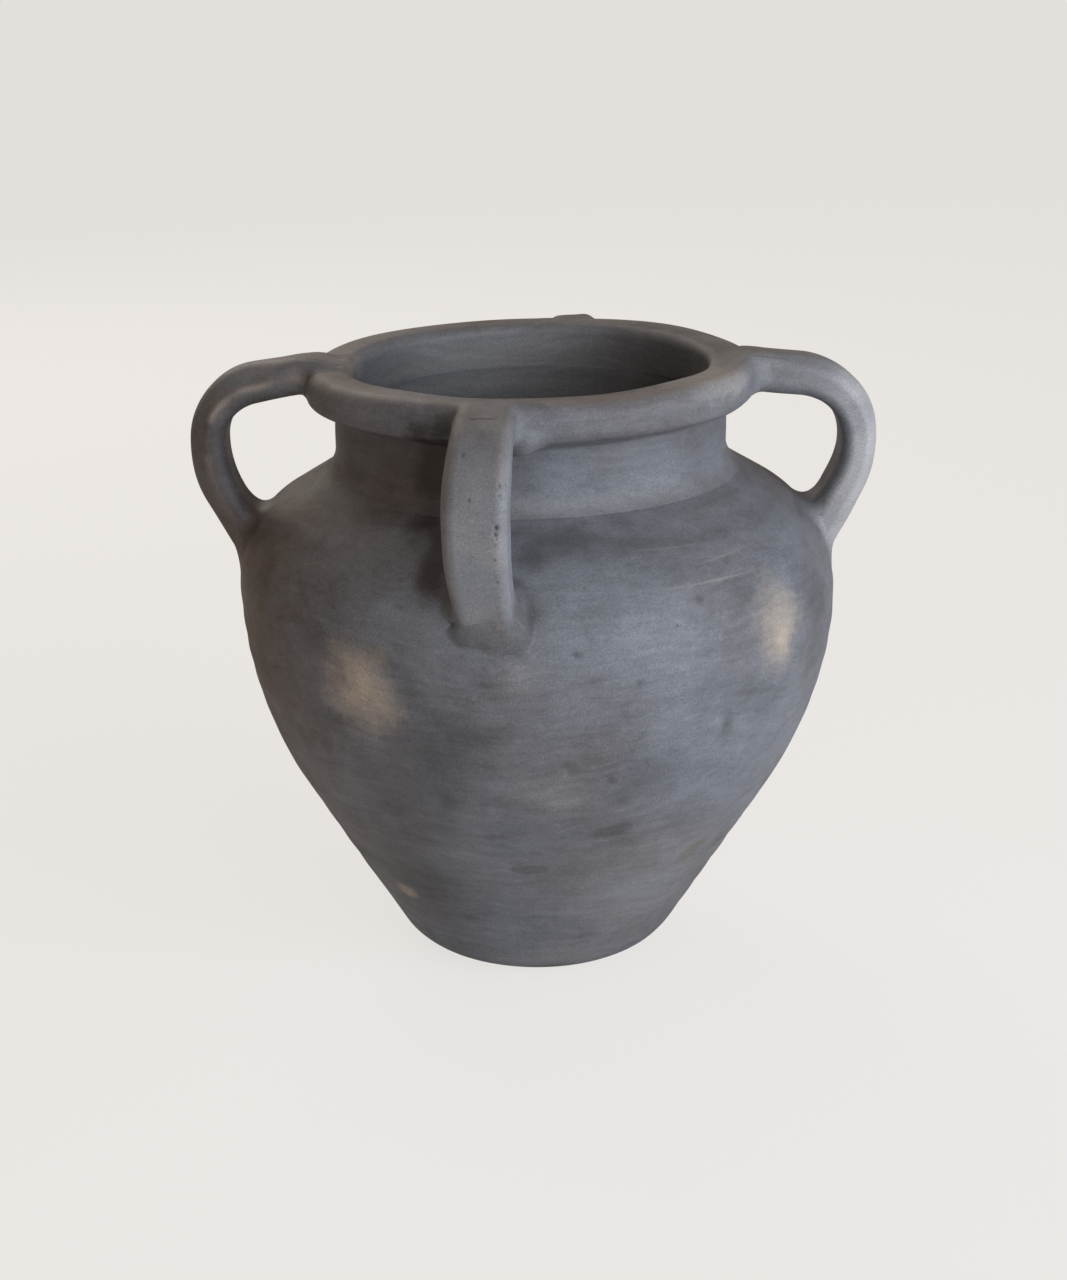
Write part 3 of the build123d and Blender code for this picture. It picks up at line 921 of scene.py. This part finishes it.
def foot_pad(side):
    """Clay thumbed down round a strap's foot. The front one is the most uneven."""
    strap = Strap(side)
    seed = 40 + 2 * list(HANDLES).index(side)
    # The front pad's second value is how dark its painted shade is
    lumps, soot_and_shadow = (0.4 * MM, 0.7) if side == "front" else (0.12 * MM, 0.0)
    window = [OUTER_LINE.where_height(height) for height in FOOT_HEIGHTS]
    distance = np.arange(strap.foot - FOOT_SEARCH, strap.line.length, SAMPLE)[:, None]
    meeting = strap.meets(distance, window, 0.0)
    smear = strap.smear("foot_smear", seed)
    pad_piece(side + "_handle_foot_pad", strap, meeting, window, -1.0, smear, seed, lumps, soot_and_shadow)


def top_pad(side):
    """Clay smeared round a strap where it leaves the rim."""
    strap = Strap(side)
    seed = 60 + 2 * list(HANDLES).index(side)
    low, high = OUTER_LINE.where_height(RIM_UNDERSIDE), OUTER_LINE.where_height(RIM_TOP)
    window = [low - PAD_MARGIN, high + PAD_MARGIN]
    middle = (RIM_UNDERSIDE + RIM_TOP) / 2 + 2.0 * MM
    meeting = strap.meets(np.arange(strap.rim + RIM_SEARCH, 0.0, -SAMPLE)[:, None], window, middle)
    smear = strap.smear("rim_smear", seed)
    pad_piece(side + "_handle_top_pad", strap, meeting, window, 1.0, smear, seed, 0.08 * MM, 0.0)


# Marks of the firing, some of them painted shadow, shade and light: tone, azimuth, height, half width and
# half height in mm, slant, crispness, strength
FIRING_MARKS = (
    # Painted shade of the left side, with a brown tone
    ("haze_and_shade", -170, 240, 200, 210, 0, 0, 0.92),
    ("smoke_black_and_shade", -109, 190, 46, 62, 0, 0, 0.45),
    ("smoke_black_and_shade", -100, 209, 26, 12, 8, 0.1, 0.45),
    ("smoke_black_and_shade", -93, 162, 26, 9, -6, 0.2, 0.3),
    ("smoke_black_and_shade", -108, 160, 11, 18, 0, 0.1, 0.4),
    ("smoke_black_and_shade", -74, 164, 16, 10, 0, 0.1, 0.3),
    ("smoke_black_and_shade", -133.5, 257, 26, 16, 0, 0, 0.35),
    ("smoke_black_and_shade", -117.5, 250, 30, 10, -20, 0.1, 0.4),
    ("smoke_black_and_shade", -113.5, 235, 14, 16, 0, 0, 0.35),
    ("smoke_black_and_shade", -133, 205, 34, 20, 0, 0.1, 0.35),
    ("smoke_black_and_shade", -42, 215, 40, 26, 0, 0, 0.3),
    ("smoke_black_and_shade", -48, 286, 20, 14, 0, 0, 0.3),
    # Painted shade under the neck's lip, with some smoke
    ("smoke_black_and_shade", -90, 313, 18, 9, 0, 0.1, 0.5),
    ("smoke_black_and_shade", -84, 189, 9, 6, -30, 0.2, 0.35),
    # These two are painted shade under the neck's lip, with some smoke
    ("smoke_black_and_shade", -82, 320, 48, 9, 0, 0.1, 0.5),
    ("smoke_black_and_shade", -66, 317, 40, 8, 4, 0, 0.3),
    ("smoke_black_and_shade", -92, 106, 15, 4.5, 0, 0.75, 0.4),
    ("smoke_black_and_shade", -74, 138, 20, 6, 12, 0.6, 0.4),
    # Painted light on the lower right of the belly, standing in for light from below
    ("ash", -58, 76, 84, 100, 0, 0, 0.12),
    # Painted light on the rim's top towards the lamps
    ("ash", -30, 401, 80, 18, 0, 0, 0.4),
    ("fire_cloud", 176, 393, 40, 18, 0, 0, 0.45),
    # Painted light on the base, against the floor's shadow
    ("ash", -84, 16, 70, 22, 0, 0, 0.15),
    ("ash", -88, 168, 34, 22, 0, 0, 0.12),
    ("ash", -93, 250, 26, 18, 0, 0, 0.12),
    ("smoke_black_and_shade", -25, 255, 36, 70, 0, 0, 0.35),
    # Painted shade with a brown tone on the neck left of the front handle
    ("haze_and_shade", -128, 352, 54, 60, 0, 0.2, 0.6),
    # These two are painted shadow of the front handle on the neck and shoulder, with some soot
    ("soot_and_shadow", -114.5, 350, 25, 62, 0, 0.4, 0.9),
    ("soot_and_shadow", -109.5, 312, 17, 28, 0, 0.3, 0.75),
    ("smoke_black_and_shade", -118, 388, 40, 16, 0, 0.2, 0.25),
    ("smoke_black_and_shade", -91, 287, 17, 16, 0, 0.2, 0.3),
    # Browner painted shade on the belly's left side
    ("soot_and_shadow", -132, 255, 64, 60, 0, 0, 0.13),
    ("smoke_black_and_shade", -106, 198, 44, 28, 0, 0.1, 0.2),
    ("smoke_black_and_shade", -120, 150, 50, 60, 0, 0, 0.35),
    ("smoke_black_and_shade", -122, 80, 60, 60, 0, 0, 0.48),
    ("smoke_black_and_shade", -68, 178, 38, 30, 0, 0, 0.42),
    ("olive", -47, 102, 16, 8, 32, 0.5, 0.5),
    ("haze_and_shade", -86, 9, 22, 4, 0, 0.2, 0.6),
    ("fire_cloud", -123.5, 231, 36, 40, 20, 0, 0.75),
    ("fire_cloud", -39.8, 258, 30, 38, 0, 0.2, 0.45),
    ("fire_cloud", -38.5, 249, 13, 18, 10, 0.2, 0.4),
    ("fire_cloud", -134, 66, 14, 8, 0, 0.3, 0.5),
    ("fire_cloud", 72, 205, 40, 44, 15, 0, 0.3),
    ("rub", -53.5, 293, 54, 0.9, 0, 0.2, 0.35),
    ("rub", -47.5, 303.5, 36, 0.8, 3.5, 0.2, 0.3),
    ("rub", -60, 312, 34, 0.8, -2, 0.2, 0.25),
    ("rub", -138, 300, 16, 0.8, 18, 0.2, 0.25),
)


def add_node(tree, kind, inputs=(), **settings):
    """Adds a node, sets its properties, sets or links each of its inputs, and gives its outputs."""
    node = tree.nodes.new(kind)
    for name, value in settings.items():
        setattr(node, name, value)
    for socket, value in dict(inputs).items():
        if isinstance(value, bpy.types.NodeSocket):
            tree.links.new(value, node.inputs[socket])
        else:
            node.inputs[socket].default_value = value
    return node.outputs


def per(size_mm):
    """Texture scale at which one feature is so many millimetres across."""
    return 1000.0 / size_mm


def blackened_clay():
    """The clay material, made once and shared by every piece, so that its marks run on across the joints."""
    if "smoke_blackened_clay" in bpy.data.materials:
        return bpy.data.materials["smoke_blackened_clay"]
    # Low-fired clay, rubbed smooth with a stone while damp and blackened in a smoky kiln: grey with brown
    # and black clouds, a soft sheen along the rubbing strokes, fine grit, and pale spots where a flame
    # touched it.
    clay = bpy.context.scene.olla_clay
    tones = {name: (*getattr(clay, name), 1.0) for name in clay.__annotations__}
    material = bpy.data.materials.new("smoke_blackened_clay")
    material.use_nodes = True
    tree = material.node_tree
    tree.nodes.clear()
    place = add_node(tree, "ShaderNodeTexCoord")["Object"]
    hollow, rubbed, ashed, turned = (
        add_node(tree, "ShaderNodeAttribute", attribute_name=name)["Fac"]
        for name in ("hollow", "rubbed", "ashed", "turned"))

    # Noise at the scales of the clay: feature size in millimetres, detail, roughness, stretch round the pot.
    # drift is smoke a hand wide, mottle a thumb wide, patch and grit are soot and sand, stroke is the
    # rubbing stone, and wander bends the edges of the marks.
    noises = {}
    for name, size_mm, detail, rough, stretch in (
        ("drift", 120.0, 4.0, 0.55, 1.0),
        ("mottle", 34.0, 8.0, 0.72, 0.55),
        ("wander", 26.0, 8.0, 0.72, 1.0),
        ("patch", 7.0, 6.0, 0.75, 0.6),
        ("grit", 1.1, 4.0, 0.75, 1.0),
        ("stroke", 4.0, 5.0, 0.65, 0.07),
    ):
        bent = place
        if name == "stroke":
            bent = add_node(
                tree, "ShaderNodeVectorMath", {0: noises["drift"]["Color"], 1: (0.0, 0.0, 0.05), 2: place},
                operation="MULTIPLY_ADD")[0]
        stretched = add_node(tree, "ShaderNodeMapping", {"Vector": bent, "Scale": (stretch, stretch, 1.0)})
        noises[name] = add_node(tree, "ShaderNodeTexNoise", {
            "Vector": stretched[0], "Scale": per(size_mm), "Detail": detail, "Roughness": rough,
        })

    # Tones that the noises spread: tone, noise, where it begins, where it is full, how strong
    layers = []
    for name, noise, low, high, strength in (
        ("haze_and_shade", "drift", 0.42, 0.72, 0.5),
        ("smoke_black_and_shade", "mottle", 0.5, 0.72, 0.4),
        ("smoke_black_and_shade", "patch", 0.52, 0.72, 0.36),
        ("ash", "patch", 0.44, 0.28, 0.1),
    ):
        share = add_node(tree, "ShaderNodeMapRange", {
            "Value": noises[noise][0], "From Min": low, "From Max": high, "To Max": strength})[0]
        layers.append((share, tones[name]))

    # Marks of the firing, and the painted shadow, shade and light among them, each an ellipsoid about its
    # spot on the wall, with an edge that wanders
    wander = add_node(tree, "ShaderNodeVectorMath", {
        0: noises["wander"]["Color"], 1: (0.5, 0.5, 0.5)}, operation="SUBTRACT")[0]
    for name, azimuth, height, half_width, half_height, slant, crisp, strength in FIRING_MARKS:
        theta, distance = around_wall(azimuth, height * MM)
        depth = max(60.0, half_width)
        about = add_node(tree, "ShaderNodeMapping", {
            "Vector": place,
            "Location": Vector(on_wall(OUTER_LINE, np.array(theta), np.array(distance)).tolist()),
            "Rotation": (radians(slant), 0.0, theta),
            "Scale": (depth * MM, half_width * MM, half_height * MM),
        }, vector_type="TEXTURE")[0]
        ragged = add_node(tree, "ShaderNodeVectorMath", {
            0: wander, 1: (1.2, 1.2, 1.2), 2: about}, operation="MULTIPLY_ADD")[0]
        far = add_node(tree, "ShaderNodeVectorMath", {0: ragged}, operation="LENGTH")["Value"]
        share = add_node(tree, "ShaderNodeMapRange", {
            "Value": far, "From Min": 1.0, "From Max": crisp, "To Max": strength},
            interpolation_type="SMOOTHSTEP")[0]
        layers.append((share, tones[name]))

    # Specks where grains fell out: every other cell, 17 mm apart, has one, of its own size
    jagged = add_node(tree, "ShaderNodeVectorMath", {
        0: noises["patch"]["Color"], 1: (0.003, 0.003, 0.003), 2: place}, operation="MULTIPLY_ADD")[0]
    cell = add_node(tree, "ShaderNodeTexVoronoi", {"Vector": jagged, "Scale": per(17.0)})
    size = add_node(tree, "ShaderNodeMapRange", {
        "Value": cell["Color"], "From Min": 0.5, "From Max": 0.9, "To Max": 0.075})[0]
    speck = add_node(tree, "ShaderNodeMapRange", {
        "Value": cell["Distance"], "From Min": size, "From Max": 0.0})[0]

    # Smoke with painted shade in hollows, wear with painted highlight, and ash with painted light that the
    # pieces
    # carry point by point, and the specks: tone, amount, strength
    for name, amount, strength in (
        ("ash", ashed, 1.0),
        ("rub", rubbed, 1.0),
        ("smoke_black_and_shade", hollow, 0.6),
        ("smoke_black_and_shade", speck, 0.9),
    ):
        share = add_node(tree, "ShaderNodeMath", {0: amount, 1: strength}, operation="MULTIPLY")[0]
        layers.append((share, tones[name]))

    # All of them laid over the grey in turn
    colour = tones["body"]
    for share, tint in layers:
        colour = add_node(tree, "ShaderNodeMix", {0: share, 6: colour, 7: tint}, data_type="RGBA")[2]

    # Lighter and darker grain: the rubbing strokes on the turned pieces, and sand everywhere
    for noise, share, dark, pale in (("stroke", turned, 0.87, 1.12), ("grit", 1.0, 0.72, 1.3)):
        shade = add_node(tree, "ShaderNodeMapRange", {
            "Value": noises[noise][0], "From Min": 0.3, "From Max": 0.7, "To Min": dark, "To Max": pale,
        })[0]
        colour = add_node(tree, "ShaderNodeMix", {
            0: share, 6: colour, 7: shade}, data_type="RGBA", blend_type="MULTIPLY")[2]

    # Fine relief: sand, soot, strokes and the holes of the specks
    grit, patch, stroke = (noises[name][0] for name in ("grit", "patch", "stroke"))
    stroke = add_node(tree, "ShaderNodeMath", {0: stroke, 1: turned}, operation="MULTIPLY")[0]
    height = 0.0
    for source, depth in ((grit, 0.6), (patch, 0.7), (stroke, 0.5), (speck, -0.8)):
        height = add_node(
            tree, "ShaderNodeMath", {0: source, 1: depth, 2: height}, operation="MULTIPLY_ADD")[0]
    bump = add_node(tree, "ShaderNodeBump", {"Height": height, "Strength": 0.5, "Distance": 0.5 * MM})
    rough = add_node(tree, "ShaderNodeMapRange", {
        "Value": noises["mottle"][0], "From Min": 0.3, "From Max": 0.7, "To Min": 0.46, "To Max": 0.62,
    })[0]
    surface = add_node(tree, "ShaderNodeBsdfPrincipled", {
        "Base Color": colour, "Roughness": rough, "Normal": bump[0], "IOR": 1.45})
    add_node(tree, "ShaderNodeOutputMaterial", {"Surface": surface[0]})
    return material


class OLLA_OT_base_slab(Operator):
    """Build the base slab with its rounded edge"""

    bl_idname = "olla.base_slab"
    bl_label = "Base slab"

    def execute(self, context):
        theta = columns_round()
        outer = wall_rows(2.0 * MM, OUTER_LINE.where_height(SLAB_JOINT[0]), 3.0 * MM)
        inner = wall_rows(INNER_LINE.where_height(SLAB_JOINT[1]), 2.0 * MM, 4.0 * MM)
        points, hollow = both_walls(theta, outer, inner, *outer_relief(theta, outer))
        corners = (len(outer) - 1, len(outer))
        centres = [(0.0, 0.0, 0.0), (0.0, 0.0, FLOOR)]
        clay_piece("base_slab", points, poles=centres, sharp_rows=corners, hollow=hollow, turned=1.0)
        return {"FINISHED"}


class OLLA_OT_walls(Operator):
    """Build the lower wall and the shoulder wall, which meet at the widest circle"""

    bl_idname = "olla.walls"
    bl_label = "Lower wall and shoulder wall"

    def execute(self, context):
        ring_piece("lower_wall", SLAB_JOINT, BELLY_JOINT, 2.6 * MM, 5.0 * MM)
        ring_piece("shoulder_wall", BELLY_JOINT, NECK_JOINT, 1.6 * MM, 4.0 * MM)
        return {"FINISHED"}


class OLLA_OT_neck_collar(Operator):
    """Build the neck collar, whose smeared foot ends in a thin lip on the shoulder"""

    bl_idname = "olla.neck_collar"
    bl_label = "Neck collar"

    def execute(self, context):
        theta = columns_round()
        start, stop = (OUTER_LINE.where_height(height) for height in (NECK_JOINT[0], RIM_UNDERSIDE))
        outer = wall_rows(start, stop, 1.5 * MM)
        down = [INNER_LINE.where_height(height) for height in (RIM_UNDERSIDE, NECK_JOINT[1])]
        inner = wall_rows(*down, 2.5 * MM)
        relief, hollow = outer_relief(theta, outer)
        foot = smooth_step(start + LIP_SPAN[0], start + LIP_SPAN[1], outer)
        at_front = (np.cos(theta - radians(LIP_AZIMUTH)) * 0.5 + 0.5) ** 6
        uneven = np.clip(at_front * (0.9 + 0.25 * swells(theta, outer, 8, 9, 0.2, 0.6, 12)), 0.0, 1.3)
        relief = relief + LIP_HEIGHT * foot * uneven
        # Painted shade under the rim's overhang, fading down the neck
        rim_shade = 0.5 * smooth_step(stop - RIM_SHADE_REACH, stop, outer)
        points, hollow = both_walls(theta, outer, inner, relief, np.maximum(hollow, rim_shade))
        # Painted light on the neck's upturned band towards the lamps, and on the far side of the inside,
        # where the lamps fall
        inside = 0.32 * far_side(theta) * np.ones((len(inner), 1))
        ashed = np.concatenate([0.17 * foot * np.clip(uneven, 0.0, 1.0), inside])
        corners = (0, len(outer) - 1, len(outer), len(points) - 1)
        clay_piece("neck_collar", points, sharp_rows=corners, hollow=hollow, ashed=ashed, turned=1.0)
        return {"FINISHED"}


class OLLA_OT_rim_coil(Operator):
    """Build the rolled rim coil"""

    bl_idname = "olla.rim_coil"
    bl_label = "Rim coil"

    def execute(self, context):
        theta = columns_round()
        outer = wall_rows(OUTER_LINE.where_height(RIM_UNDERSIDE), OUTER_LINE.length, 1.1 * MM)
        relief, hollow = outer_relief(theta, outer)
        top = OUTER_LINE.where_height(RIM_TOP)
        # The inside is darkened with smoke and painted shade, and paled with painted light on its far side,
        # where the lamps fall
        inside = smooth_step(top + SMOKE_AND_SHADE_SPAN[0], top + SMOKE_AND_SHADE_SPAN[1], outer)
        hollow = np.maximum(hollow, INSIDE_SMOKE_AND_SHADE * inside)
        rubbed = 0.3 * np.exp(-((outer - top) / RIM_RUB_WIDTH) ** 2) * np.ones_like(relief)
        ashed = 0.48 * inside * far_side(theta)
        points = on_wall(OUTER_LINE, theta, outer, relief)
        amounts = {"hollow": hollow, "rubbed": rubbed, "ashed": ashed, "turned": 1.0}
        clay_piece("rim_coil", points, sharp_rows=(0, len(outer) - 1), **amounts)
        return {"FINISHED"}


class OLLA_OT_handles(Operator):
    """Build the four strap handles"""

    bl_idname = "olla.handles"
    bl_label = "Handles"

    def execute(self, context):
        for side in HANDLES:
            strap_piece(side)
        return {"FINISHED"}


class OLLA_OT_handle_pads(Operator):
    """Build the clay smeared round the ends of the straps, at the rim and at the shoulder"""

    bl_idname = "olla.handle_pads"
    bl_label = "Handle pads"

    def execute(self, context):
        for side in HANDLES:
            top_pad(side)
            foot_pad(side)
        return {"FINISHED"}


class OLLA_OT_stage(Operator):
    """Set up the pale floor, the soft lights and the camera"""

    bl_idname = "olla.stage"
    bl_label = "Floor, lights and camera"

    def execute(self, context):
        scene = context.scene
        scene.view_settings.view_transform = "Standard"

        # Floor: one wide sheet. The camera sees it for four fifths in plain paper colour, and the rest lit
        half = 25.0
        corners = [(-half, -half, 0.0), (half, -half, 0.0), (half, half, 0.0), (-half, half, 0.0)]
        mesh = bpy.data.meshes.new("floor")
        mesh.from_pydata(corners, [], [(0, 1, 2, 3)])
        floor = bpy.data.objects.new("floor", mesh)
        scene.collection.objects.link(floor)
        paper = bpy.data.materials.new("studio_paper")
        paper.use_nodes = True
        tree = paper.node_tree
        tree.nodes.clear()
        pale = (*linear("#f4f1ee"), 1.0)
        seen = add_node(tree, "ShaderNodeLightPath")["Is Camera Ray"]
        plain = add_node(tree, "ShaderNodeMath", {0: seen, 1: 0.8}, operation="MULTIPLY")[0]
        lit = add_node(tree, "ShaderNodeBsdfDiffuse", {"Color": pale})
        flat = add_node(tree, "ShaderNodeEmission", {"Color": pale, "Strength": 1.0})
        sheet = add_node(tree, "ShaderNodeMixShader", {0: plain, 1: lit[0], 2: flat[0]})
        add_node(tree, "ShaderNodeOutputMaterial", {"Surface": sheet[0]})
        mesh.materials.append(paper)

        # Room light: dim and warm all round, with the same paper colour behind everything
        world = bpy.data.worlds.new("studio")
        world.use_nodes = True
        tree = world.node_tree
        tree.nodes.clear()
        seen = add_node(tree, "ShaderNodeLightPath")["Is Camera Ray"]
        room = add_node(tree, "ShaderNodeBackground", {"Color": (*linear("#ffe9d6"), 1.0), "Strength": 0.25})
        behind = add_node(tree, "ShaderNodeBackground", {"Color": pale, "Strength": 1.0})
        both = add_node(tree, "ShaderNodeMixShader", {0: seen, 1: room[0], 2: behind[0]})
        add_node(tree, "ShaderNodeOutputWorld", {"Surface": both[0]})
        scene.world = world

        # Lamps: azimuth, elevation, distance, width, height, watts, colour
        target = Vector((0.0, 0.0, 0.22))
        for name, azimuth, elevation, distance, width, height, watts, colour in (
            ("window", -68.0, 18.0, 2.4, 0.8, 1.0, 15.0, "#e4efff"),
            ("side", -34.0, 13.0, 2.4, 1.3, 1.1, 35.0, "#e4efff"),
            ("behind", 118.0, 34.0, 2.6, 1.6, 1.6, 16.0, "#fff6ec"),
        ):
            lamp = bpy.data.lights.new(name, "AREA")
            lamp.shape = "RECTANGLE"
            lamp.size = width
            lamp.size_y = height
            lamp.energy = watts
            lamp.color = linear(colour)
            light = bpy.data.objects.new(name, lamp)
            az, el = radians(azimuth), radians(elevation)
            way = Vector((np.cos(az) * np.cos(el), np.sin(az) * np.cos(el), np.sin(el)))
            light.location = target + distance * way
            light.rotation_euler = (target - light.location).to_track_quat("-Z", "Y").to_euler()
            scene.collection.objects.link(light)

        # Camera: as high, as far and as steep as the view that the pot was measured in
        lens = bpy.data.cameras.new("camera")
        lens.sensor_fit = "VERTICAL"
        lens.sensor_height = 36.0
        lens.lens = 68.17
        camera = bpy.data.objects.new("camera", lens)
        camera.location = (-2.6 * MM, -1536.7 * MM, 711.5 * MM)
        camera.rotation_euler = (radians(90.0 - 18.1), 0.0, 0.0)
        scene.collection.objects.link(camera)
        scene.camera = camera
        return {"FINISHED"}


GROUPS = {"olla_form": OllaForm, "olla_straps": OllaStraps, "olla_clay": OllaClay}
OPERATORS = (
    OLLA_OT_base_slab,
    OLLA_OT_walls,
    OLLA_OT_neck_collar,
    OLLA_OT_rim_coil,
    OLLA_OT_handles,
    OLLA_OT_handle_pads,
    OLLA_OT_stage,
)


class OLLA_PT_panel(Panel):
    """Lists the pot's sizes, its colours and the steps that build it"""

    bl_idname = "OLLA_PT_panel"
    bl_label = "Clay olla"
    bl_space_type = "VIEW_3D"
    bl_region_type = "UI"
    bl_category = "Olla"

    def draw(self, context):
        for group, kind in GROUPS.items():
            box = self.layout.box()
            for name in kind.__annotations__:
                box.prop(getattr(context.scene, group), name)
        for operator in OPERATORS:
            self.layout.operator(operator.bl_idname)


CLASSES = (*GROUPS.values(), *OPERATORS, OLLA_PT_panel)


def register():
    for cls in CLASSES:
        bpy.utils.register_class(cls)
    for name, group in GROUPS.items():
        setattr(bpy.types.Scene, name, PointerProperty(type=group))


def unregister():
    for name in GROUPS:
        delattr(bpy.types.Scene, name)
    for cls in reversed(CLASSES):
        bpy.utils.unregister_class(cls)


def main():
    register()
    bpy.ops.olla.base_slab()
    bpy.ops.olla.walls()
    bpy.ops.olla.neck_collar()
    bpy.ops.olla.rim_coil()
    bpy.ops.olla.handles()
    bpy.ops.olla.handle_pads()
    bpy.ops.olla.stage()


if __name__ == "__main__":
    main()
